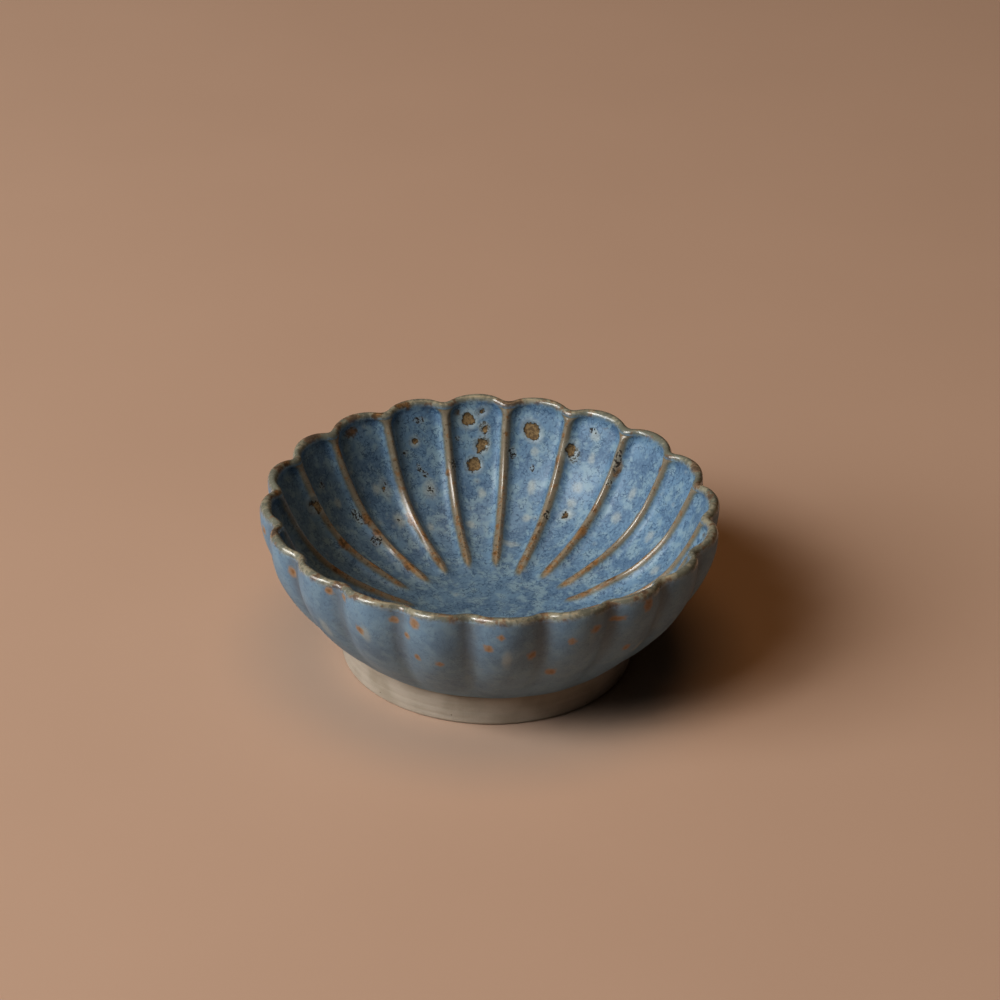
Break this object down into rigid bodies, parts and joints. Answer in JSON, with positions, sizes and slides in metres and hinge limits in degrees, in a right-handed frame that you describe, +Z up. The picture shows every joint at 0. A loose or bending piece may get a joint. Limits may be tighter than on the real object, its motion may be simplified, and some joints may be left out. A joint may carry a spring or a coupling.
{
  "type": "scalloped dish",
  "caption": "Small round chrysanthemum-shaped stoneware dish with a petalled rim, ridged well and bare foot ring, for sauce, sweets or incense.",
  "frame": {"origin": "middle of the foot ring, level with the surface that the dish stands on", "axes": "+Z up along the dish's axis; +X and +Y point to the middle of a petal"},
  "size_m": [0.09, 0.09, 0.0335],
  "materials": {
    "glaze": "satin gloss, mottled blue, breaking to tan on the rim and ridges, with iron spots",
    "clay": "fired stoneware body under the glaze, seen bare where the glaze crawled away and under the dish",
    "foot": "matte grey-beige bare stoneware"
  },
  "bodies": {
    "root": {"clay_bowl": "clay", "foot_ring": "foot", "glaze_coat": "glaze"}
  },
  "joints": []
}
